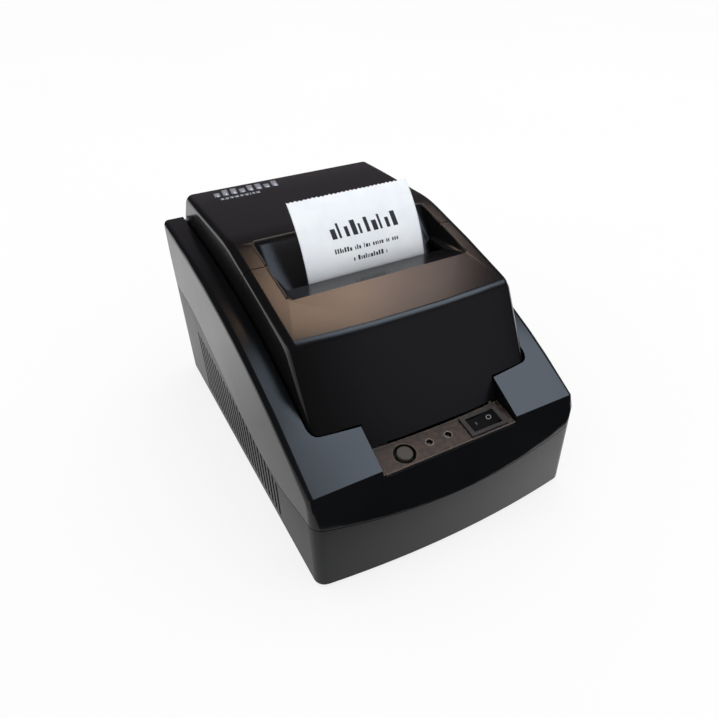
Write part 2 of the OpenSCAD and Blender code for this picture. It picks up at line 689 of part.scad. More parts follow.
bucket_half = paper_w / 2 + 0.95;
bucket_flange_z = 42;
bucket_screws_at = [for (x = [-40, 40]) for (y = [24, 64]) [path_x + x, y]];

module paper_bucket() color([0.1, 0.1, 0.11]) difference() {
    union() {
        side_cut(concat(arc(bucket_c, bucket_r + bucket_t, 180, 360, 36),
            [[bucket_c[0] + bucket_r + bucket_t, bucket_top], [12, bucket_top],
             [bucket_c[0] - bucket_r - bucket_t, 72]]), 2 * (bucket_half + bucket_t), path_x);
        difference() {
            block([path_x - 44, path_x + 44], [18, 70], [bucket_flange_z, bucket_flange_z + 2]);
            block([path_x - bucket_half - 1, path_x + bucket_half + 1], [10, 80], [40, 46]);
        }
    }
    side_cut(concat(arc(bucket_c, bucket_r, 180, 360, 36),
        [[bucket_c[0] + bucket_r, 90], [bucket_c[0] - bucket_r, 90]]), 2 * bucket_half, path_x);
    for (p = bucket_screws_at) post(p, hole_r, [bucket_flange_z - 1, bucket_flange_z + 3]);
}

module bucket_screws() color("silver") for (p = bucket_screws_at) {
    post(p, 2.8, [bucket_flange_z + 2, bucket_flange_z + 4]);
    post(p, shank_r, [bucket_flange_z - 10, bucket_flange_z + 2]);
}

core_r = 8;
module paper_roll() color([0.95, 0.95, 0.96]) difference() {
    rod(roll_c, roll_r, [path_x - paper_w / 2, path_x + paper_w / 2]);
    rod(roll_c, core_r, [path_x - paper_w, path_x + paper_w]);
}

module roll_core() color([0.6, 0.5, 0.38]) difference() {
    rod(roll_c, core_r, [path_x - paper_w / 2, path_x + paper_w / 2]);
    rod(roll_c, core_r - 2, [path_x - paper_w, path_x + paper_w]);
}

module paper_web() color([0.95, 0.95, 0.96]) side_cut(band(web_path, paper_t), paper_w, path_x);

module paper_tail() color([0.95, 0.95, 0.96]) side_cut(band(tail_path, paper_t), paper_w, path_x);

// ---- print mechanism ------------------------------------------------------------------------

base_screws = [for (x = [-26, 26]) for (y = [-46, -8]) [path_x + x, y]];
motor_r = 12;
motor_l = 20;
pin_r = 2;
lever_at = [-6, 62];
lever_pin_r = 1.5;
cable_slot = [[-23, -11], [-42, -34]];

module mech_base() color([0.7, 0.71, 0.73]) difference() {
    block([path_x - plate_in, path_x + plate_in], [-52, -2], [base_z, base_top]);
    for (p = base_screws) post(p, hole_r, [base_z - 1, base_top + 1]);
    block(cable_slot[0], cable_slot[1], [base_z - 1, base_top + 1]);
}

module mech_screws() color("silver") for (p = base_screws) {
    post(p, 2.8, [base_top, base_top + 2]);
    post(p, shank_r, [base_z - 11, base_top]);
}

module mech_side(x) difference() {
    side_cut([[-52, base_z], [-2, base_z], [-2, 84], [-12, 86], [-15, 90.5], [-30, 90.5], [-52, 76]],
        plate_t, x);
    rod(platen, 4.05, [x - 2, x + 2]);
    rod(head_c, pin_r + 0.03, [x - 2, x + 2]);
    children();
}
module mech_side_left() color([0.72, 0.73, 0.75]) let (x = path_x - plate_in - plate_t / 2) mech_side(x) {
    rod(motor_c, 4.5, [x - 2, x + 2]);
    rod(idler_c, pin_r + 0.02, [x - 2, x + 2]);
}
module mech_side_right() color([0.72, 0.73, 0.75]) {
    mech_side(path_x + plate_in + plate_t / 2);
    rod(lever_at, lever_pin_r, [path_x + plate_in + plate_t - 0.2, path_x + plate_in + 6.5]);
}

platen_shaft_r = 2.5;
motor_shaft_r = 1.5;
module platen_roller() color([0.12, 0.12, 0.12]) difference() {
    rod(platen, platen_r, [path_x - 29.5, path_x + 29.5]);
    rod(platen, platen_shaft_r + 0.02, [path_x - 40, path_x + 40]);
}
module platen_shaft() color("silver")
    rod(platen, platen_shaft_r, [gear_x - 0.8, path_x + plate_in + 3.6]);
module platen_bushings() color([0.85, 0.84, 0.78]) for (s = [-1, 1])
    translate([path_x + s * (plate_in - 0.6), 0, 0]) difference() {
        union() {
            rod(platen, 4, s > 0 ? [0, plate_t + 1] : [-plate_t - 1, 0]);
            rod(platen, 5, s > 0 ? [-0.4, 0.55] : [-0.55, 0.4]);
        }
        rod(platen, platen_shaft_r + 0.05, [-5, 5]);
    }

module gear(c, teeth, turn, bore) translate([gear_x, c[0], c[1]]) rotate([90, 0, 90]) linear_extrude(gear_w)
    difference() { polygon(gear_outline(teeth, turn)); circle(r = bore); }
module platen_gear() color([0.9, 0.89, 0.84])
    gear(platen, platen_teeth, platen_turn, platen_shaft_r + 0.02);
module idler_gear() color([0.9, 0.89, 0.84]) gear(idler_c, idler_teeth, idler_turn, pin_r + 0.05);
module motor_pinion() color([0.8, 0.68, 0.35])
    gear(motor_c, pinion_teeth, pinion_turn, motor_shaft_r + 0.02);
module idler_post() color("silver") {
    rod(idler_c, pin_r, [gear_x - 1, path_x - plate_in]);
    rod(idler_c, 3.4, [gear_x - 1.6, gear_x - 0.4]);
}
module motor_shaft() color("silver")
    rod(motor_c, motor_shaft_r, [gear_x - 0.8, path_x - plate_in + motor_l - 4]);
module stepper_motor() color([0.35, 0.36, 0.38]) difference() {
    union() {
        rod(motor_c, motor_r, [path_x - plate_in + 0.05, path_x - plate_in + motor_l]);
        rod(motor_c, 4.4, [path_x - plate_in - plate_t, path_x - plate_in + 1]);
    }
    rod(motor_c, motor_shaft_r + 0.05, [path_x - plate_in - 5, path_x - plate_in + motor_l - 3]);
}

head_half = 28;
module heat_sink() color([0.75, 0.76, 0.78]) difference() {
    union() {
        rod(head_c, guide_r, [path_x - head_half, path_x + head_half]);
        side_cut([[head_c[0] - 4.3, head_c[1]], [head_c[0] + 3.8, head_c[1]], [head_c[0] + 3.8, 84.5],
            [head_c[0] - 4.3, 84.5]], 2 * head_half, path_x);
    }
    rod(head_c, pin_r + 0.05, [path_x - 40, path_x + 40]);
    // Cooling fins
    for (i = [-6:6]) if (abs(i) < 4 || abs(i) > 5) block([path_x + 4 * i - 1, path_x + 4 * i + 1],
        [head_c[0] + 1, head_c[0] + 5], [79, 86]);
}
module thermal_head() color([0.2, 0.2, 0.22]) side_cut([for (p = [[4.35, 79.8], [4.35, 84.5], [5.3, 84.5],
    [5.3, 83.4], [5.7, 82.6], [5.7, 81.4], [5.3, 80.6], [4.9, 79.8]]) [head_c[0] - p[0], p[1]]],
    2 * head_half - 2, path_x);
module head_pivot_pin() color("silver") let (reach = plate_in + plate_t + 0.4)
    rod(head_c, pin_r, [path_x - reach, path_x + reach]);

spring_at = [-18, 18];
module spring_bar() color([0.7, 0.71, 0.73])
    block([path_x - plate_in, path_x + plate_in], [-2.8, -2], [79, 85]);
module head_springs() color("silver") for (x = spring_at)
    translate([path_x + x, -2.85, 82.4]) rotate([90, 0, 0]) coil(1.6, 0.3, 3, 3.6);

lever_x = path_x + plate_in + plate_t + 0.6;
lever_t = 2.5;
module release_lever() color([0.15, 0.35, 0.7]) difference() {
    union() {
        rod(lever_at, 4, [lever_x, lever_x + lever_t]);
        side_cut([[-8.4, 62], [-3.6, 62], [-3.4, 80], [-3.4, 83.5], [-7.4, 83.5], [-7.4, 80]],
            lever_t, lever_x + lever_t / 2);
        side_cut([[-7.4, 80], [-3.4, 80], [-3.4, 83.5], [-7.4, 83.5]], 7, lever_x + 3.5);
    }
    rod(lever_at, lever_pin_r + 0.05, [lever_x - 2, lever_x + 5]);
}

module paper_sensor() color([0.1, 0.1, 0.1]) {
    block([path_x - 5, path_x + 5], [-14, -8], [63, 69.4]);
    block([path_x - 3, path_x + 3], [-12.5, -11], [base_top, 63.5]);
}

// ---- cables ---------------------------------------------------------------------------------

// Cables run down to the casing's floor and along it to the connectors at the front of the main board
floor_run = [[-6, 7], [-1, 8.6], [2, 12.6], [4.9, 13.6]];
module head_cable() color([0.8, 0.55, 0.25]) side_cut(
    band([[-6.6, 80], [-3.9, 74], [0.35, 67], [0.35, 18], [0.6, 15], [2, 13.4], [4.9, 13.4]], 0.4), 2.4, 32);
module motor_cable() color([0.6, 0.1, 0.1]) side_cut(
    band(concat([[-38, 47.6], [-38, 12], [-36.5, 8.5], [-33, 7]], floor_run), 1), 6, -17);
module panel_cable() color([0.75, 0.75, 0.78]) side_cut(
    band(concat([[-80, 35.4], [-80, 14], [-78, 9], [-74, 7]], floor_run), 0.8), 8, -4);

lower_case();
upper_case();
rear_lid();
lid_hinge_pins();
front_cover();
tear_bar();
control_panel_plate();
feed_button();
button_spring();
indicator_lenses();
indicator_leds();
switch_housing();
switch_rocker();
switch_terminals();
control_board();
panel_screws();
tact_switch();
main_board();
board_components();
board_screws();
usb_socket();
power_socket();
drawer_socket();
paper_bucket();
bucket_screws();
paper_roll();
roll_core();
paper_web();
paper_tail();
mech_base();
mech_side_left();
mech_side_right();
mech_screws();
platen_roller();
platen_shaft();
platen_bushings();
platen_gear();
idler_gear();
idler_post();
motor_pinion();
motor_shaft();
stepper_motor();
heat_sink();
thermal_head();
head_pivot_pin();
head_springs();
spring_bar();
release_lever();
paper_sensor();
head_cable();
motor_cable();
panel_cable();
rubber_feet();
case_screws();
rating_plate();
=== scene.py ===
"""Looks of the receipt printer: finishes for the CAD nodes, paper, small marks, stage, light and camera."""

import math
import random

import bpy
from mathutils import Matrix, Vector
from mathutils.bvhtree import BVHTree

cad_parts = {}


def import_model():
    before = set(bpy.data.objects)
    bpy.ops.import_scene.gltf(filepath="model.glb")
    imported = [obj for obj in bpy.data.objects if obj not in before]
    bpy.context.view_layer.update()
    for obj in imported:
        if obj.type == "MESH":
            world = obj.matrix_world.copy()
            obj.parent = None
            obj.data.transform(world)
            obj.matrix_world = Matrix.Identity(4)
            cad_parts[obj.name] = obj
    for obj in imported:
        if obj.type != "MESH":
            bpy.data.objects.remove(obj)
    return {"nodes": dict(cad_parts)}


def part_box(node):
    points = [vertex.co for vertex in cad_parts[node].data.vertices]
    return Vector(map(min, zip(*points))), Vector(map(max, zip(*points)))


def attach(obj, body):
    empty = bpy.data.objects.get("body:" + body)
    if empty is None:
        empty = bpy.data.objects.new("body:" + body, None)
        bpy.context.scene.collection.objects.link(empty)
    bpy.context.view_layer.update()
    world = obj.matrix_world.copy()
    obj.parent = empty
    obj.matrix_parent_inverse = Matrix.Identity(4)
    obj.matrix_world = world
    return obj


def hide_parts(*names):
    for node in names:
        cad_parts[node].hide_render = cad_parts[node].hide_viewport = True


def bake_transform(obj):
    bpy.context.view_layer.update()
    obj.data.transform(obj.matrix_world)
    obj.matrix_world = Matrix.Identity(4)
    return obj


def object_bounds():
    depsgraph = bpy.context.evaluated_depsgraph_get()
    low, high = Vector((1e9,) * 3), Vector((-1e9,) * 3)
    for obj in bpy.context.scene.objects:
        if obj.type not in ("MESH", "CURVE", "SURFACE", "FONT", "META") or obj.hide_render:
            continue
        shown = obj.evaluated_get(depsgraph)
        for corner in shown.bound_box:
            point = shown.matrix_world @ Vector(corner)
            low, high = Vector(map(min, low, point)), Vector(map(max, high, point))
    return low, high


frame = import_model()
cad_box = [list(corner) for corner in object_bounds()]
NODES = frame["nodes"]
MM = 0.001


# ---- colours and node helpers ---------------------------------------------------------------

def display(r, g, b):
    """Linear colour from display values of 0 to 255, by the sRGB curve with its straight foot."""
    shares = [c / 255 for c in (r, g, b)]
    return tuple(c / 12.92 if c < 0.042 else ((c + 0.055) / 1.055) ** 2.4 for c in shares) + (1,)


def shade(colour, factor):
    """The colour made lighter or darker by a factor."""
    return tuple(min(1, c * factor) for c in colour[:3]) + (1,)


class Finish:
    """A node material. Calling it adds one shader node, with sockets or plain values for its inputs."""

    def __init__(self, name):
        self.material = bpy.data.materials.new(name)
        self.material.use_nodes = True
        self.tree = self.material.node_tree
        self.tree.nodes.clear()
        self.spot = self("TexCoord").outputs["Object"]

    def __call__(self, kind, inputs=None, **props):
        node = self.tree.nodes.new("ShaderNode" + kind)
        for key, value in props.items():
            setattr(node, key, value)
        for key, value in (inputs or {}).items():
            if isinstance(value, bpy.types.NodeSocket):
                self.tree.links.new(value, node.inputs[key])
            else:
                node.inputs[key].default_value = value
        return node

    def noise(self, scale, detail=2.0, at=None):
        return self("TexNoise", {"Vector": at or self.spot, "Scale": scale, "Detail": detail}).outputs["Fac"]

    def math(self, operation, *values):
        return self("Math", dict(enumerate(values)), operation=operation).outputs[0]

    def ramp(self, value, low, high, start=0.0, end=1.0):
        """Maps value from low..high to start..end."""
        return self("MapRange", {"Value": value, "From Min": low, "From Max": high, "To Min": start,
                                 "To Max": end}).outputs[0]

    def stretch(self, noise, start=0.0, end=1.0):
        """Spreads a noise, which mostly lies between 0.3 and 0.7, over start..end."""
        return self.ramp(noise, 0.3, 0.7, start, end)

    def mix(self, factor, a, b):
        node = self("Mix", {"Factor": factor}, data_type="RGBA")
        for index, value in ((6, a), (7, b)):
            if isinstance(value, bpy.types.NodeSocket):
                self.tree.links.new(value, node.inputs[index])
            else:
                node.inputs[index].default_value = value
        return node.outputs[2]

    def axis(self, letter, source=None):
        return self("SeparateXYZ", {"Vector": source or self.spot}).outputs[letter]

    def edge_mask(self, radius):
        """1 close to an edge, 0 on the flats, from the cosine of how far a rounded edge would bend."""
        bent = self("Bevel", {"Radius": radius}, samples=4).outputs["Normal"]
        flat = self("NewGeometry").outputs["Normal"]
        match = self("VectorMath", {0: bent, 1: flat}, operation="DOT_PRODUCT").outputs["Value"]
        return self.ramp(match, 0.995, 0.9)

    def open_air(self, distance):
        """1 in the open, falling towards 0 in hollows narrower than the distance."""
        return self("AmbientOcclusion", {"Distance": distance}, samples=6).outputs["AO"]

    def bump(self, height, distance, strength=1.0):
        return self("Bump", {"Height": height, "Distance": distance, "Strength": strength}).outputs["Normal"]

    def surface(self, **inputs):
        """Ends the material in a Principled surface; underscores stand for spaces in input names."""
        node = self("BsdfPrincipled", {key.replace("_", " "): value for key, value in inputs.items()})
        out = self("OutputMaterial")
        self.tree.links.new(node.outputs[0], out.inputs["Surface"])
        return self.material


# ---- finishes -------------------------------------------------------------------------------

def moulded(name, colour, rough, grain=0.3 * MM, edge=1.3):
    """Satin moulded plastic: spark-eroded grain, faint flow mottling, rubbed edges, and painted shade that
    dims reflections in hollows.
    """
    f = Finish(name)
    grain_height = f.noise(1 / grain, 3.0)
    flow = f.noise(22.0, 3.0)
    rub = f.edge_mask(0.5 * MM)
    tone = f.mix(f.stretch(flow), shade(colour, 0.88), shade(colour, 1.12))
    worn = f.math("MULTIPLY", rub, f.ramp(f.noise(260.0), 0.35, 0.75, 0.15, 0.8))
    tone = f.mix(worn, tone, shade(colour, edge))
    roughness = f.math("ADD", f.stretch(flow, rough - 0.03, rough + 0.03),
                       f.stretch(grain_height, -0.03, 0.03))
    # Painted shade: ambient occlusion dims the reflections in hollows
    shine_with_painted_shade = f.ramp(f.open_air(25 * MM), 0.1, 0.5, 0.05, 0.5)
    return f.surface(Base_Color=tone, Roughness=roughness, Specular_IOR_Level=shine_with_painted_shade,
                     Normal=f.bump(grain_height, 0.018 * MM, 0.6))


def bronze(name):
    """Bronze tinted plate with a cloudy, finely pitted paint and a painted highlight along its edges."""
    f = Finish(name)
    cloud = f.noise(520.0, 6.0)
    pits = f.noise(2600.0, 2.0)
    tone = f.mix(f.ramp(cloud, 0.4, 0.62), display(15, 10, 8), display(60, 43, 33))
    # Painted highlight: a light line along the plate's edges
    tone = f.mix(f.edge_mask(0.3 * MM), tone, display(150, 138, 126))
    return f.surface(Base_Color=tone, Roughness=f.stretch(cloud, 0.34, 0.46),
                     Normal=f.bump(pits, 0.02 * MM, 0.7))


def gloss(name, colour, rough=0.22, specular=0.5):
    """Semi-gloss plastic with faint handling marks."""
    f = Finish(name)
    smear = f.noise(160.0, 4.0)
    worn = f.mix(smear, shade(colour, 0.85), shade(colour, 1.15))
    tone = f.mix(f.edge_mask(0.25 * MM), worn, shade(colour, 3.2))
    return f.surface(Base_Color=tone, Roughness=f.stretch(smear, rough, rough + 0.12),
                     Specular_IOR_Level=specular, Normal=f.bump(f.noise(900.0), 0.01 * MM, 0.4))


def metal(name, colour, rough, stretch=(1.0, 1.0, 1.0)):
    """Bare or plated metal with fine marks that run along the axis whose stretch is small."""
    f = Finish(name)
    at = f("Mapping", {"Vector": f.spot, "Scale": stretch}).outputs[0]
    lines = f.noise(1500.0, 3.0, at)
    cloud = f.noise(60.0, 3.0)
    tone = f.mix(f.stretch(cloud), shade(colour, 0.86), shade(colour, 1.08))
    return f.surface(Base_Color=tone, Metallic=1.0, Roughness=f.stretch(lines, rough, rough + 0.14),
                     Normal=f.bump(lines, 0.006 * MM, 0.6))


def circuit_board(name):
    """Green solder mask over a grid of copper tracks."""
    f = Finish(name)
    tracks = f("TexBrick", {"Vector": f.spot, "Scale": 90.0, "Mortar Size": 0.035, "Color1": (0, 0, 0, 1),
                            "Color2": (0, 0, 0, 1), "Mortar": (1, 1, 1, 1), "Brick Width": 1.1,
                            "Row Height": 0.24}, offset=0.37, squash=1.7).outputs["Fac"]
    here = f.math("MULTIPLY", tracks, f.ramp(f.noise(45.0, 1.0), 0.42, 0.52))
    tone = f.mix(here, display(14, 74, 40), display(34, 122, 66))
    return f.surface(Base_Color=tone, Roughness=0.3, Normal=f.bump(here, 0.03 * MM, 0.8), Coat_Weight=0.3)


def chips(name):
    """Moulded chip packages and connector bodies, finely speckled."""
    f = Finish(name)
    speck = f.noise(2200.0, 2.0)
    tone = f.mix(f.ramp(speck, 0.4, 0.7), display(24, 24, 26), display(48, 48, 50))
    return f.surface(Base_Color=tone, Roughness=0.55, Normal=f.bump(speck, 0.015 * MM, 0.7))


def paper(name):
    """Thermal paper: smooth coated white with a very faint fibre cloud, painted shade where it is hemmed in,
    and some light passing through.
    """
    f = Finish(name)
    fibre = f.noise(1400.0, 4.0)
    cloud = f.noise(90.0, 3.0)
    tone = f.mix(f.stretch(cloud), display(236, 239, 246), display(246, 248, 252))
    # Painted shade: the paper turns grey where ambient occlusion finds it hemmed in, as near the slot
    tone = f.mix(f.ramp(f.open_air(28 * MM), 0.25, 0.85), display(150, 152, 158), tone)
    return f.surface(Base_Color=tone, Roughness=f.stretch(fibre, 0.42, 0.56), Specular_IOR_Level=0.35,
                     Normal=f.bump(fibre, 0.006 * MM, 0.5), Subsurface_Weight=0.12, Subsurface_Scale=0.4 * MM)


def wound_paper(name, centre):
    """End faces of the roll show its turns as fine rings; the outside stays plain."""
    turn_pitch = 0.34 * MM
    f = Finish(name)
    y = f.math("SUBTRACT", f.axis("Y"), centre.y)
    z = f.math("SUBTRACT", f.axis("Z"), centre.z)
    radius = f.math("SQRT", f.math("ADD", f.math("MULTIPLY", y, y), f.math("MULTIPLY", z, z)))
    turn = f.math("SINE", f.math("MULTIPLY", radius, 2 * math.pi / turn_pitch))
    side = f.math("ABSOLUTE", f.axis("X", f("NewGeometry").outputs["Normal"]))
    end_face = f.ramp(side, 0.5, 0.9)
    rings = f.math("MULTIPLY", f.ramp(turn, 0.2, 1.0), end_face)
    outward = f("CombineXYZ", {"X": radius}).outputs[0]
    band = f.math("MULTIPLY", f.stretch(f.noise(30.0, 1.0, outward)), end_face)
    dark = f.math("ADD", f.math("MULTIPLY", rings, 0.5), f.math("MULTIPLY", band, 0.3))
    tone = f.mix(dark, display(240, 242, 247), display(176, 178, 184))
    return f.surface(Base_Color=tone, Roughness=0.6, Normal=f.bump(rings, 0.03 * MM, 0.5))


def cardboard(name):
    """Spiral-wound card tube."""
    f = Finish(name)
    wave = f("TexWave", {"Vector": f.spot, "Scale": 55.0, "Distortion": 1.5, "Detail": 3.0},
             bands_direction="DIAGONAL").outputs["Fac"]
    tone = f.mix(wave, display(150, 118, 84), display(178, 148, 112))
    return f.surface(Base_Color=tone, Roughness=0.85, Normal=f.bump(f.noise(900.0, 4.0), 0.04 * MM, 0.8))


def rubber(name, colour=display(26, 26, 27)):
    """Ground rubber: dark, matt and a little dusty on its high points."""
    f = Finish(name)
    grit = f.noise(1700.0, 3.0)
    tone = f.mix(f.ramp(grit, 0.45, 0.8), colour, shade(colour, 2.6))
    return f.surface(Base_Color=tone, Roughness=0.82, Normal=f.bump(grit, 0.03 * MM, 0.8))


def ribbon(name, colours, pitch):
    """Flat cable: parallel cores side by side along X, shading from one colour to the other and back."""
    f = Finish(name)
    wave = f.math("SINE", f.math("MULTIPLY", f.axis("X"), 2 * math.pi / pitch))
    tone = f.mix(f.ramp(wave, -0.4, 0.6), *colours)
    return f.surface(Base_Color=tone, Roughness=0.45, Normal=f.bump(wave, 0.12 * MM, 0.8))


def light_pipe(name):
    """Smoky clear rod in a dark hole."""
    f = Finish(name)
    haze = f.noise(1200.0, 2.0)
    tone = f.mix(haze, display(10, 11, 12), display(20, 21, 23))
    return f.surface(Base_Color=tone, Roughness=f.stretch(haze, 0.06, 0.16), Coat_Weight=0.6,
                     IOR=1.49, Normal=f.bump(haze, 0.01 * MM, 0.3))


def epoxy(name):
    """Clear green-tinted resin, paler where it is seen edge on."""
    f = Finish(name)
    depth = f("LayerWeight", {"Blend": 0.4}).outputs["Facing"]
    tone = f.mix(depth, display(150, 205, 150), display(210, 236, 205))
    return f.surface(Base_Color=tone, Roughness=0.12, Transmission_Weight=0.5, IOR=1.5)


def label(name):
    """Blank silver label with plain ruled bars where a real one carries print."""
    row_pitch = 5.0 * MM
    half_width = 25 * MM
    f = Finish(name)
    row = f.math("FRACT", f.math("MULTIPLY", f.axis("Y"), 1 / row_pitch))
    inside = f.math("LESS_THAN", f.math("ABSOLUTE", f.axis("X")), half_width)
    bars = f.math("MULTIPLY", f.math("GREATER_THAN", row, 0.72), inside)
    tone = f.mix(bars, display(176, 178, 182), display(70, 72, 76))
    return f.surface(Base_Color=tone, Metallic=0.4, Roughness=f.stretch(f.noise(300.0), 0.3, 0.42))


def printed(name, colour, rough):
    """Thermal or screen-printed ink, a little uneven in density."""
    f = Finish(name)
    speck = f.noise(5200.0, 2.0)
    tone = f.mix(f.ramp(speck, 0.35, 0.7), colour, shade(colour, 1.7))
    return f.surface(Base_Color=tone, Roughness=rough)


def silver_print(name):
    """Silver ink with a fine metallic speckle."""
    f = Finish(name)
    speck = f.noise(3000.0, 2.0)
    tone = f.mix(f.stretch(speck), display(168, 172, 184), display(214, 216, 224))
    return f.surface(Base_Color=tone, Metallic=0.55, Roughness=f.stretch(speck, 0.3, 0.45))


roll_low, roll_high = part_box("paper_roll")

CASE = moulded("case_satin", display(12, 13, 15), rough=0.2)
BASE = moulded("base_satin", display(13, 14, 15), rough=0.34)
COVER = moulded("cover_satin", display(13, 12, 13), rough=0.2)
# The beads round the paper well get a lighter colour: a painted highlight along the well's rim
RIM = moulded("rim_painted_highlight", display(62, 56, 52), rough=0.3)
INNER = moulded("inner_moulding", display(16, 16, 18), rough=0.5)
# Bright metal rings round the status lights: a painted highlight on the rims of their holes
RING = metal("hole_rim_painted_highlight", display(206, 200, 192), 0.38)
SCREW = metal("plated_steel", display(196, 198, 204), 0.24)
SHEET_STEEL = metal("zinc_sheet", display(186, 190, 198), 0.3, (1.0, 0.08, 1.0))

# Nodes that are not named here are plated steel
FINISHES = {
    "upper_case": CASE, "lower_case": BASE, "rear_lid": COVER, "front_cover": COVER,
    "control_panel_plate": bronze("bronze_plate"),
    "feed_button": moulded("button_satin", display(56, 54, 50), rough=0.42, grain=0.18 * MM, edge=1.35),
    "switch_housing": gloss("switch_bezel", display(24, 22, 21), 0.34),
    "switch_rocker": gloss("switch_rocker", display(9, 9, 11), 0.5, 0.12),
    "indicator_lenses": light_pipe("light_pipe"), "indicator_leds": epoxy("led_epoxy"),
    "switch_terminals": metal("brass_tabs", display(214, 178, 96), 0.3),
    "control_board": circuit_board("panel_board"), "main_board": circuit_board("main_board"),
    "board_components": chips("chip_packages"), "tact_switch": chips("tact_switch_body"),
    "usb_socket": SHEET_STEEL, "drawer_socket": gloss("drawer_socket_body", display(30, 30, 32)),
    "power_socket": gloss("power_socket_body", display(24, 24, 26)),
    "paper_bucket": INNER, "paper_sensor": INNER,
    "paper_roll": wound_paper("wound_paper", (roll_low + roll_high) / 2), "roll_core": cardboard("card_core"),
    "platen_roller": rubber("platen_rubber"), "rubber_feet": rubber("foot_rubber", display(20, 20, 21)),
    "mech_base": SHEET_STEEL, "mech_side_left": SHEET_STEEL, "mech_side_right": SHEET_STEEL,
    "spring_bar": SHEET_STEEL, "stepper_motor": metal("motor_can", display(92, 94, 98), 0.4),
    "heat_sink": metal("extruded_aluminium", display(204, 206, 210), 0.3, (0.05, 1.0, 1.0)),
    "thermal_head": gloss("glazed_ceramic", display(70, 66, 70), 0.12),
    "platen_bushings": moulded("acetal_bushings", display(226, 224, 212), rough=0.4, edge=1.05),
    "platen_gear": moulded("acetal_platen_gear", display(230, 228, 216), rough=0.4, edge=1.05),
    "idler_gear": moulded("acetal_idler_gear", display(224, 222, 210), rough=0.4, edge=1.05),
    "motor_pinion": metal("brass_pinion", display(208, 174, 98), 0.3),
    "release_lever": moulded("blue_lever", display(52, 92, 160), rough=0.36, edge=1.3),
    "head_cable": ribbon("film_cable", (display(170, 108, 40), display(206, 150, 78)), 0.6 * MM),
    "motor_cable": ribbon("motor_wires", (display(150, 34, 28), display(196, 60, 48)), 1.5 * MM),
    "panel_cable": ribbon("panel_ribbon", (display(150, 150, 154), display(196, 196, 200)), 1.0 * MM),
    "rating_plate": label("blank_label"),
}


# ---- edges ----------------------------------------------------------------------------------

EDGE_ANGLE = math.radians(38)
FLAT_ANGLE = math.radians(0.6)
WELD_GAP = 0.002 * MM
# Radius in mm that the sharp edges of the visible mouldings get; the other nodes keep theirs
EDGE_WIDTHS = {
    "upper_case": 0.35, "rear_lid": 0.35, "front_cover": 0.35, "control_panel_plate": 0.15,
    "feed_button": 0.15, "switch_housing": 0.2, "switch_rocker": 0.2,
}


def sharp_by_angle(angle):
    """A node tree for modifiers that keeps the shading crisp over edges sharper than the angle."""
    tree = bpy.data.node_groups.new("sharp_by_angle", "GeometryNodeTree")
    for way in ("INPUT", "OUTPUT"):
        tree.interface.new_socket("Geometry", in_out=way, socket_type="NodeSocketGeometry")
    mark = tree.nodes.new("GeometryNodeSetShadeSmooth")
    mark.domain = "EDGE"
    mark.inputs["Shade Smooth"].default_value = False
    steep = tree.nodes.new("FunctionNodeCompare")
    steep.operation = "GREATER_THAN"
    steep.inputs["B"].default_value = angle
    edge_angle = tree.nodes.new("GeometryNodeInputMeshEdgeAngle")
    tree.links.new(edge_angle.outputs["Unsigned Angle"], steep.inputs["A"])
    tree.links.new(steep.outputs["Result"], mark.inputs["Selection"])
    tree.links.new(tree.nodes.new("NodeGroupInput").outputs[0], mark.inputs["Geometry"])
    tree.links.new(mark.outputs["Geometry"], tree.nodes.new("NodeGroupOutput").inputs[0])
    return tree


def soften(node, width, crisp):
    """Rounds a CAD node's sharp edges and smooths its shading, by modifiers only."""
    mesh = node.data
    for name in ("custom_normal", "sharp_edge", "sharp_face"):
        if name in mesh.attributes:
            mesh.attributes.remove(mesh.attributes[name])
    mesh.polygons.foreach_set("use_smooth", [True] * len(mesh.polygons))
    weld = node.modifiers.new("weld", "WELD")
    weld.merge_threshold = WELD_GAP
    if width:
        flat = node.modifiers.new("flats", "DECIMATE")
        flat.decimate_type = "DISSOLVE"
        flat.angle_limit = FLAT_ANGLE
        bevel = node.modifiers.new("edges", "BEVEL")
        bevel.width = width
        bevel.segments = 2
        bevel.limit_method = "ANGLE"
        bevel.angle_limit = EDGE_ANGLE
        bevel.miter_outer = "MITER_ARC"
    node.modifiers.new("crisp", "NODES").node_group = crisp
    normals = node.modifiers.new("normals", "WEIGHTED_NORMAL")
    normals.keep_sharp = True


crisp_tree = sharp_by_angle(EDGE_ANGLE)
for node_name, node in NODES.items():
    node.data.materials.clear()
    node.data.materials.append(FINISHES.get(node_name, SCREW))
    soften(node, EDGE_WIDTHS.get(node_name, 0) * MM, crisp_tree)


# ---- finding places on the frame ------------------------------------------------------------

def seat(node_name):
    """A function that drops onto the node from above: (x, y) in metres gives (point, normal)."""
    mesh = NODES[node_name].data
    tree = BVHTree.FromPolygons([v.co for v in mesh.vertices], [p.vertices for p in mesh.polygons])
    start_height = 1.0

    def drop(x, y):
        point, normal, _, _ = tree.ray_cast(Vector((x, y, start_height)), Vector((0, 0, -1)))
        return point, normal
    return drop


def add_piece(name, points, faces, material, body=None):
    """A mesh piece from points and faces, with a material, on a body."""
    mesh = bpy.data.meshes.new(name)
    mesh.from_pydata(points, [], faces)
    mesh.polygons.foreach_set("use_smooth", [True] * len(mesh.polygons))
    obj = bpy.data.objects.new(name, mesh)
    bpy.context.scene.collection.objects.link(obj)
    mesh.materials.append(material)
    if body:
        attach(obj, body)
    return obj


def spread(start, end, count):
    """count + 1 evenly spaced values from start to end."""
    return [start + (end - start) * i / count for i in range(count + 1)]


# ---- paper ----------------------------------------------------------------------------------

# The sheet: its thickness, its gap to the roll, its bend round the head's pin, and where its slot is
PAPER_T = 0.1 * MM
ROLL_GAP = 0.2 * MM
HEAD_BEND_R = 6.0 * MM
SLOT_Y = -15.7 * MM
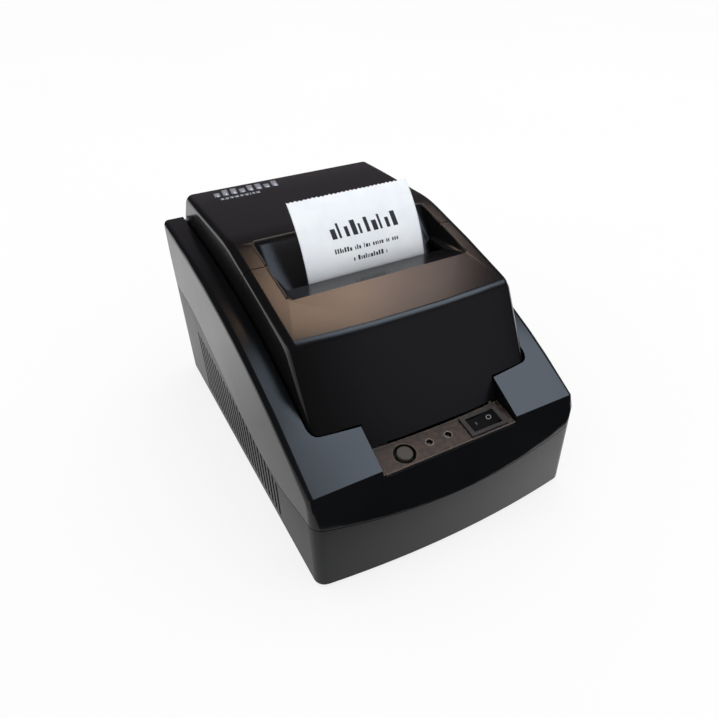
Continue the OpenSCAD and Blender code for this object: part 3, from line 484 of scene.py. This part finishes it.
# Pulls (y, z) that shape the sheet: up from the print head, into the slot, and curling back above it
HEAD_PULL = Vector((0, 9)) * MM
SLOT_PULL = Vector((0.6, 4)) * MM
CURL_START = Vector((2.9, 10.6)) * MM
CURL_MIDDLE = Vector((7.7, 20.6)) * MM
END_INSET = Vector((0.2, 0.1)) * MM
# The torn end, and how far the ink stands off the middle of the sheet
TOOTH_PITCH = 1.0 * MM
TOOTH_DEPTH = 0.55 * MM
TEAR_RAGGED = 0.22 * MM
INK_LIFT = PAPER_T / 2 + 0.02 * MM

# The print, in mm across the sheet and along it from the slot
BIG_BARS = 10
BIG_BAR_LEFT = -12.6
BIG_BAR_PITCH = 3.3
BIG_BAR_WIDTHS = (2.3, 1.1, 1.7)
BIG_BAR_FOOT = 15.0
BIG_BAR_TOPS = (19.4, 21.5)
BIG_BAR_SLANT = -0.12
SMALL_BAR_ROWS = (
    {"left": -13.0, "right": 19.0, "low": 8.9, "high": 10.9},
    {"left": -5.0, "right": 12.0, "low": 4.4, "high": 6.4},
)
SMALL_BAR_WIDTH = (0.35, 1.1)
SMALL_BAR_HEIGHTS = (0.7, 0.7, 1.0)
SMALL_BAR_GAP = (0.35, 0.5)
WORD_GAP = 1.5
WORD_GAP_CHANCE = 0.12


def arc(centre, radius, start, end, count):
    """Points on an arc in (y, z)."""
    return [centre + radius * Vector((math.cos(a), math.sin(a))) for a in spread(start, end, count)]


def bezier(a, b, c, d, count):
    """Points on a cubic curve from a to d, pulled towards b and c."""
    return [(1 - t) ** 3 * a + 3 * (1 - t) ** 2 * t * b + 3 * (1 - t) * t * t * c + t ** 3 * d
            for t in spread(0, 1, count)]


def side_view(name):
    """Centre (y, z) and half height of a node."""
    low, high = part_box(name)
    return Vector(((low.y + high.y) / 2, (low.z + high.z) / 2)), (high.z - low.z) / 2


def sheet_line():
    """The paper's line in (y, z), from the roll round the head's pin and out of the slot to the torn end.

    It also gives the number of the line's point at the slot.
    """
    roll, roll_r = side_view("paper_roll")
    head, _ = side_view("head_pivot_pin")
    span = (roll - head).length
    lean = math.atan2(roll.y - head.y, roll.x - head.x) + math.asin((HEAD_BEND_R + roll_r + ROLL_GAP) / span)
    leave = roll + (roll_r + ROLL_GAP) * Vector((-math.sin(lean), math.cos(lean)))
    slot = Vector((SLOT_Y, paper_low.z))
    end = Vector((paper_high.y, paper_high.z)) - END_INSET
    web = [leave] + arc(head, HEAD_BEND_R, 1.5 * math.pi + lean, math.pi, 14)
    rise = bezier(web[-1], web[-1] + HEAD_PULL, slot - SLOT_PULL, slot, 10)
    tail = bezier(slot, slot + CURL_START, slot + CURL_MIDDLE, end, 30)
    return web + rise[1:] + tail[1:], len(web) + len(rise) - 2


paper_low, paper_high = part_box("paper_tail")
line, slot_index = sheet_line()
reach = [0.0]
for here, ahead in zip(line, line[1:]):
    reach.append(reach[-1] + (ahead - here).length)
slot_reach = reach[slot_index]


def on_sheet(x, s, lift=0.0):
    """Point on the paper: x across, s along from the slot, lifted off its printed side."""
    s = min(max(s + slot_reach, 0.0), reach[-1])
    i = max(k for k in range(len(reach) - 1) if reach[k] <= s)
    t = (s - reach[i]) / (reach[i + 1] - reach[i])
    y, z = line[i].lerp(line[i + 1], t)
    step = (line[min(i + 2, len(line) - 1)] - line[max(i - 1, 0)]).normalized()
    return Vector((x, y - step.y * lift, z + step.x * lift))


def bend_with_paper(obj):
    """Bakes the piece's transform into its mesh; nothing bends it or makes it lean."""
    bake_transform(obj)


def paper_sheet():
    """The sheet with a torn, saw-toothed end."""
    rng = random.Random(4)
    columns = round((paper_high.x - paper_low.x) / TOOTH_PITCH)
    xs = spread(paper_low.x, paper_high.x, columns)
    stops = [r - slot_reach for r in reach[:-1]]
    end = reach[-1] - slot_reach
    points = [on_sheet(x, s) for s in stops for x in xs]
    for i, x in enumerate(xs):
        tooth = TOOTH_DEPTH if i % 2 else 0
        points.append(on_sheet(x, end - tooth - rng.uniform(0, TEAR_RAGGED)))
    width = columns + 1
    faces = [(r * width + c, r * width + c + 1, (r + 1) * width + c + 1, (r + 1) * width + c)
             for r in range(len(stops)) for c in range(columns)]
    sheet = add_piece("paper_sheet", points, faces, paper("thermal_paper"))
    thick = sheet.modifiers.new("thickness", "SOLIDIFY")
    thick.thickness = PAPER_T
    thick.offset = 0
    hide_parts("paper_tail", "paper_web")
    bend_with_paper(sheet)


def paper_print():
    """Generic print: a row of slanted bars over two rows of short ones."""
    rng = random.Random(11)
    points, faces = [], []

    def patch(left, wide, low, high, slant=0.0):
        rows = 4
        first = len(points)
        for s in spread(low, high, rows):
            shift = slant * (s - low)
            points.extend(on_sheet((x + shift) * MM, s * MM, INK_LIFT) for x in (left, left + wide))
        faces.extend((first + 2 * r, first + 2 * r + 1, first + 2 * r + 3, first + 2 * r + 2)
                     for r in range(rows))

    for k in range(BIG_BARS):
        wide = BIG_BAR_WIDTHS[k % len(BIG_BAR_WIDTHS)]
        patch(BIG_BAR_LEFT + k * BIG_BAR_PITCH, wide, BIG_BAR_FOOT, BIG_BAR_TOPS[k % 2], BIG_BAR_SLANT)
    for row in SMALL_BAR_ROWS:
        x = row["left"]
        while x < row["right"]:
            wide = rng.uniform(*SMALL_BAR_WIDTH)
            tall = rng.choice(SMALL_BAR_HEIGHTS)
            patch(x, wide, row["low"], row["low"] + (row["high"] - row["low"]) * tall)
            x += wide + (WORD_GAP if rng.random() < WORD_GAP_CHANCE else rng.uniform(*SMALL_BAR_GAP))
    black = printed("thermal_ink", display(38, 38, 44), 0.5)
    bend_with_paper(add_piece("paper_print", points, faces, black))


paper_sheet()
paper_print()


# ---- beads round the paper well -------------------------------------------------------------

# How far the surface drops within one step at the rim
RIM_FALL = 0.08 * MM
RIM_STEP = 0.1 * MM
BEAD_HALF = 0.5 * MM
BEAD_TALL = 0.55 * MM
BEAD_SUNK = 0.25 * MM
BEAD_OFFSET = 0.9 * BEAD_HALF
# Starting places on the flats beside the well, for the walks towards its rim and towards the seam
BESIDE_WELL_X = 48 * MM
BEFORE_WELL_Y = -40 * MM
BEHIND_WELL_Y = 30 * MM
COVER_Y = -20 * MM
LID_Y = 20 * MM
SEAM_GAP = 0.2 * MM
WELL_CORNER = 1.5 * MM


def sweep(path, normals, outline):
    """Points and faces of an outline of (side, up) pairs swept along a path."""
    points, faces = [], []
    count = len(path)
    for i, (here, up) in enumerate(zip(path, normals)):
        before = path[i - 1] if i else here
        after = path[i + 1] if i < count - 1 else here
        side = (after - before).cross(up).normalized()
        points += [here + side * a + up * b for a, b in outline]
    n = len(outline)
    for i in range(count - 1):
        for k in range(n):
            faces.append((i * n + k, i * n + (k + 1) % n, (i + 1) * n + (k + 1) % n, (i + 1) * n + k))
    faces.append(tuple(range(n)))
    faces.append(tuple(reversed(range((count - 1) * n, count * n))))
    return points, faces


def bead_outline(half, tall):
    """A flat bead: rounded top, foot sunk a little into the surface."""
    top = [(half * math.cos(a), tall * math.sin(a)) for a in spread(0, math.pi, 8)]
    return [(half, -BEAD_SUNK)] + top + [(-half, -BEAD_SUNK)]


def find_rim(drop, start, step):
    """Walks from the flat top towards the paper well and stops where the surface falls away."""
    here = Vector(start)
    while drop(here.x, here.y)[0].z - drop(here.x + step[0], here.y + step[1])[0].z < RIM_FALL:
        here += Vector(step)
    return here


def last_hit(drop, x, y, step):
    """The last y, walking by step, at which the node still has something below x."""
    while drop(x, y + step)[0] is not None:
        y += step
    return y


def well_bead(name, drop, places, body):
    """A rounded bead that follows places (x, y) on top of a node, along the rim of the paper well."""
    path, normals = zip(*(drop(place.x, place.y) for place in places))
    points, faces = sweep(path, normals, bead_outline(BEAD_HALF, BEAD_TALL))
    # The bead's lighter colour is a painted highlight along the well's rim
    add_piece(name, points, faces, RIM, body)


def side_rim(drop, side, rows):
    """Places (x, y) just outside the well's rim on one side, -1 left or 1 right, at each y in rows."""
    outwards = Vector((side * BEAD_OFFSET, 0))
    return [find_rim(drop, (side * BESIDE_WELL_X, y), (-side * RIM_STEP, 0)) + outwards for y in rows]


def well_rim():
    """Beads round the paper well: one along each side of the front cover, one round the lid's part."""
    cover = seat("front_cover")
    seam = last_hit(cover, -BESIDE_WELL_X, COVER_Y, RIM_STEP)
    front = find_rim(cover, (0, BEFORE_WELL_Y), (0, RIM_STEP)).y
    for side, name in ((-1, "left"), (1, "right")):
        rows = spread(front, seam, 12)[1:-1]
        well_bead("well_bead_" + name, cover, side_rim(cover, side, rows), "front_cover")

    lid = seat("rear_lid")
    rear = find_rim(lid, (0, BEHIND_WELL_Y), (0, -RIM_STEP)).y
    start = last_hit(lid, -BESIDE_WELL_X, LID_Y, -RIM_STEP) + SEAM_GAP
    rows = spread(start, rear - WELL_CORNER, 6)
    left, right = side_rim(lid, -1, rows), side_rim(lid, 1, rows)
    radius = rear + BEAD_OFFSET - left[-1].y
    turn = [Vector((-math.cos(a), math.sin(a))) for a in spread(0, math.pi / 2, 6)[1:]]
    round_left = [left[-1] + Vector((radius, 0)) + radius * t for t in turn]
    round_right = [right[-1] + Vector((-radius - radius * t.x, radius * t.y)) for t in reversed(turn)]
    across = [round_left[-1].lerp(round_right[0], t) for t in spread(0, 1, 10)[1:-1]]
    well_bead("well_bead_rear", lid, left + round_left + across + round_right + right[::-1], "rear_lid")


well_rim()


# ---- control panel details ------------------------------------------------------------------

# Half a light's size, which puts its centre that far inside the box round both lights
LIGHT_INSET = 1.35 * MM
LIGHT_RING_R = 1.75 * MM
LIGHT_RING_HALF = 0.28 * MM
LIGHT_RING_TALL = 0.22 * MM
# A place on the plate in front of the lights, and how far below it counts as inside a hole
BESIDE_LIGHT = 3 * MM
HOLE_DEPTH = 1 * MM
# The switch's marks: a ring to the right of the middle and a dash to the left, in mm
RING_X, RING_R, RING_HALF = 3.0, 0.95, 0.16
DASH_X, DASH_TALL, DASH_HALF = -3.2, 0.7, 0.12
MARK_LIFT = 0.03


def hole_centre(drop, x, y):
    """The middle of the hole in the plate at (x, y), from the plate in front of it and behind it."""
    step = 0.05 * MM
    floor_z = drop(x, y - BESIDE_LIGHT)[0].z - HOLE_DEPTH

    def in_hole(place):
        hit = drop(x, place)[0]
        return hit is None or hit.z < floor_z

    front, back = y, y
    while in_hole(front):
        front -= step
    while in_hole(back):
        back += step
    return (drop(x, front - step)[0] + drop(x, back + step)[0]) / 2


def light_rings():
    """A thin bright metal ring round each of the two status lights: a painted highlight on the rims of their
    holes.
    """
    low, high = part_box("indicator_lenses")
    drop = seat("control_panel_plate")
    middle = (low.y + high.y) / 2
    across = Vector((LIGHT_RING_R, 0, 0))
    for name, x in (("left", low.x + LIGHT_INSET), ("right", high.x - LIGHT_INSET)):
        up = drop(x, middle - BESIDE_LIGHT)[1]
        centre = hole_centre(drop, x, middle)
        path = [centre + math.cos(a) * across + math.sin(a) * up.cross(across)
                for a in spread(0, 2 * math.pi, 32)]
        points, faces = sweep(path, [up] * len(path), bead_outline(LIGHT_RING_HALF, LIGHT_RING_TALL))
        add_piece("light_ring_" + name, points, faces, RING, "casing")


def rocker_marks():
    """The usual ring and dash of a power switch, in white, on the rocker."""
    drop = seat("switch_rocker")
    low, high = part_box("switch_rocker")
    centre = (low + high) / 2
    points, faces = [], []

    def strip(path, half):
        """A strip along a path of ((x, y), (across x, across y)) in mm from the rocker's middle."""
        first = len(points)
        for (x, y), (across_x, across_y) in path:
            for side in (-half, half):
                spot = drop(centre.x + (x + across_x * side) * MM, centre.y + (y + across_y * side) * MM)[0]
                points.append(spot + Vector((0, 0, MARK_LIFT * MM)))
        faces.extend((first + 2 * k, first + 2 * k + 2, first + 2 * k + 3, first + 2 * k + 1)
                     for k in range(len(path) - 1))

    turns = [(math.cos(a), math.sin(a)) for a in spread(0, 2 * math.pi, 24)]
    strip([((RING_X + RING_R * c, RING_R * s), (c, s)) for c, s in turns], RING_HALF)
    strip([((DASH_X, y), (1, 0)) for y in (-DASH_TALL, 0.0, DASH_TALL)], DASH_HALF)
    white = printed("white_print", display(120, 122, 124), 0.5)
    add_piece("rocker_marks", points, faces, white, "switch_rocker")


light_rings()
rocker_marks()


# ---- the mark on the lid --------------------------------------------------------------------

# Sizes and places in mm
BADGE_BARS = 8
BADGE_LEFT, BADGE_FOOT, BADGE_PITCH, BADGE_BAR_WIDE = -40.0, 67.5, 4.4, 2.9
BADGE_TALL, BADGE_SHORT, BADGE_SLANT = 8.0, 5.4, 0.14
RULE_LEFT, RULE_RIGHT, RULE_FOOT, RULE_TALL, RULE_GAP = -38.5, -18.0, 62.2, 2.4, 0.6
RULE_WIDTH = (0.7, 2.2)
INK_LOW, INK_HIGH = 0.02, 0.12


def badge():
    """Generic silver mark on the lid: slanted bars of two heights over a thin broken rule."""
    drop = seat("rear_lid")
    points, faces = [], []

    def bar(x, y, wide, tall):
        first = len(points)
        lean = BADGE_SLANT * tall
        corners = ((x, y), (x + wide, y), (x + wide + lean, y + tall), (x + lean, y + tall))
        for lift in (INK_LOW, INK_HIGH):
            points.extend(drop(a * MM, b * MM)[0] + Vector((0, 0, lift * MM)) for a, b in corners)
        faces.append(tuple(range(first + 4, first + 8)))
        faces.extend((first + k, first + (k + 1) % 4, first + 4 + (k + 1) % 4, first + 4 + k)
                     for k in range(4))

    for k in range(BADGE_BARS):
        bar(BADGE_LEFT + BADGE_PITCH * k, BADGE_FOOT, BADGE_BAR_WIDE, BADGE_TALL if k % 3 else BADGE_SHORT)
    rng = random.Random(5)
    x = RULE_LEFT
    while x < RULE_RIGHT:
        wide = rng.uniform(*RULE_WIDTH)
        bar(x, RULE_FOOT, wide, RULE_TALL)
        x += wide + RULE_GAP
    add_piece("lid_mark", points, faces, silver_print("silver_print"), "rear_lid")


badge()


# ---- stage, lights and camera ---------------------------------------------------------------

# Soft boxes that only reflections see: elevation, azimuth, inner and outer angle, colour, strength
SOFT_BOXES = [
    (55, 34, 3, 9, (1.0, 0.68, 0.47), 5.0),
    (50, 46, 2, 9, (1.0, 0.77, 0.68), 3.2),
    (59, 113, 9, 24, (0.72, 0.84, 1.0), 3.4),
    (74, 60, 4, 16, (0.7, 0.85, 1.0), 1.6),
    (16, 147, 4, 26, (0.8, 0.85, 1.0), 0.24),
    (20, 18, 6, 30, (1.0, 0.88, 0.98), 0.11),
]
DARK_SURROUND = (0.035, 0.033, 0.038)

FLOOR_HALF = 3.0
# The floor's own light keeps its shadows faint, and makes up this share of its paint
FLOOR_GLOW_SHARE = 0.8
# Reflections see the floor end between these two distances in front of the printer
GLOW_END = 36 * MM
GLOW_FULL = 24 * MM
# Strength of that glow at the printer's left and right, and its factor beside the middle and behind
GLOW_LEFT, GLOW_RIGHT = 0.55, 1.25
GLOW_MIDDLE, GLOW_REAR = 0.85, 1.5
GLOW_MIDDLE_Y, GLOW_REAR_Y = 20 * MM, 120 * MM

# The camera's place in metres, its angles, and its lens and sensor in mm
CAMERA_PLACE = (-0.1140, -0.2328, 0.2205)
CAMERA_YAW, CAMERA_PITCH, CAMERA_ROLL = (math.radians(a) for a in (27.72, 36.93, -1.34))
CAMERA_LENS = 31.03
CAMERA_SENSOR = 36
CAMERA_SHIFT = (-0.0138, 0.0266)


def toward(elevation, azimuth):
    """Unit direction; azimuth turns from the rear (+Y) to the right (+X)."""
    e, a = math.radians(elevation), math.radians(azimuth)
    return Vector((math.cos(e) * math.sin(a), math.cos(e) * math.cos(a), math.sin(e)))


def world():
    """Even white light for what the camera and matt surfaces see; dark with soft boxes for what shines."""
    scene_world = bpy.data.worlds.new("studio")
    bpy.context.scene.world = scene_world
    scene_world.use_nodes = True
    tree = scene_world.node_tree
    tree.nodes.clear()

    def add(kind, inputs, **props):
        node = tree.nodes.new("ShaderNode" + kind)
        for key, value in props.items():
            setattr(node, key, value)
        for key, value in inputs.items():
            if isinstance(value, bpy.types.NodeSocket):
                tree.links.new(value, node.inputs[key])
            else:
                node.inputs[key].default_value = value
        return node

    ray = add("TexCoord", {}).outputs["Generated"]
    colour = DARK_SURROUND
    for elevation, azimuth, inner, outer, tint, strength in SOFT_BOXES:
        facing = add("VectorMath", {0: ray, 1: toward(elevation, azimuth)}, operation="DOT_PRODUCT")
        glow = add("MapRange", {"Value": facing.outputs["Value"], "From Min": math.cos(math.radians(outer)),
                                "From Max": math.cos(math.radians(inner)), "To Max": strength},
                   interpolation_type="SMOOTHSTEP").outputs[0]
        tinted = add("VectorMath", {0: tint, "Scale": glow}, operation="SCALE").outputs[0]
        colour = add("VectorMath", {0: tinted, 1: colour}, operation="ADD").outputs[0]
    shiny = add("Background", {"Color": colour})
    matt = add("Background", {"Color": (1, 1, 1, 1)})
    seen = add("LightPath", {}).outputs["Is Glossy Ray"]
    mixed = add("MixShader", {0: seen, 1: matt.outputs[0], 2: shiny.outputs[0]})
    add("OutputWorld", {"Surface": mixed.outputs[0]})


def floor():
    """A plain white floor. Reflections see it lit around the printer and falling away in front of it."""
    points = [Vector((x * FLOOR_HALF, y * FLOOR_HALF, 0)) for x, y in ((-1, -1), (1, -1), (1, 1), (-1, 1))]
    f = Finish("floor_paint")
    tone = f.mix(f.noise(3.0), display(252, 252, 252), display(254, 254, 254))
    matt = f("BsdfPrincipled", {"Base Color": tone, "Roughness": 0.9, "Specular IOR Level": 0.1})
    white = f("Emission", {"Color": tone, "Strength": 1.0})
    paint = f("MixShader", {0: FLOOR_GLOW_SHARE, 1: matt.outputs[0], 2: white.outputs[0]})
    x, y = f.axis("X"), f.axis("Y")
    (left, front, _), (right, _, _) = cad_box
    near = f.ramp(y, front - GLOW_END, front - GLOW_FULL)
    across = f.ramp(x, left, right, GLOW_LEFT, GLOW_RIGHT)
    along = f.ramp(y, GLOW_MIDDLE_Y, GLOW_REAR_Y, GLOW_MIDDLE, GLOW_REAR)
    lit = f.math("MULTIPLY", across, along)
    glow = f("Emission", {"Color": (1, 1, 1, 1), "Strength": f.math("MULTIPLY", near, lit)})
    seen = f("LightPath").outputs["Is Glossy Ray"]
    mixed = f("MixShader", {0: seen, 1: paint.outputs[0], 2: glow.outputs[0]})
    out = f("OutputMaterial")
    f.tree.links.new(mixed.outputs[0], out.inputs["Surface"])
    add_piece("floor", points, [(0, 1, 2, 3)], f.material)


def top_fill():
    """One large soft light high on the right, which reflections don't see."""
    place, target = Vector((0.5, 0.2, 1.6)), Vector((0, 0, 0.08))
    data = bpy.data.lights.new("top_fill", "AREA")
    data.size = 0.9
    data.energy = 2.5
    data.color = (1.0, 0.99, 0.97)
    obj = bpy.data.objects.new("top_fill", data)
    bpy.context.scene.collection.objects.link(obj)
    obj.location = place
    obj.rotation_euler = (target - place).to_track_quat("-Z", "Y").to_euler()
    obj.visible_glossy = False


def camera():
    """A camera that looks down on the front left corner, as the photo does."""
    level = math.cos(CAMERA_PITCH)
    ahead = Vector((math.sin(CAMERA_YAW) * level, math.cos(CAMERA_YAW) * level, -math.sin(CAMERA_PITCH)))
    side = Vector((math.cos(CAMERA_YAW), -math.sin(CAMERA_YAW), 0))
    up = side.cross(ahead)
    x_axis = math.cos(CAMERA_ROLL) * side + math.sin(CAMERA_ROLL) * up
    y_axis = math.cos(CAMERA_ROLL) * up - math.sin(CAMERA_ROLL) * side
    data = bpy.data.cameras.new("camera")
    data.sensor_width = CAMERA_SENSOR
    data.lens = CAMERA_LENS
    data.shift_x, data.shift_y = CAMERA_SHIFT
    obj = bpy.data.objects.new("camera", data)
    bpy.context.scene.collection.objects.link(obj)
    axes = Matrix((x_axis, y_axis, -ahead)).transposed()
    obj.matrix_world = Matrix.Translation(CAMERA_PLACE) @ axes.to_4x4()
    bpy.context.scene.camera = obj


floor()
world()
top_fill()
camera()
bpy.context.scene.view_settings.view_transform = "Standard"
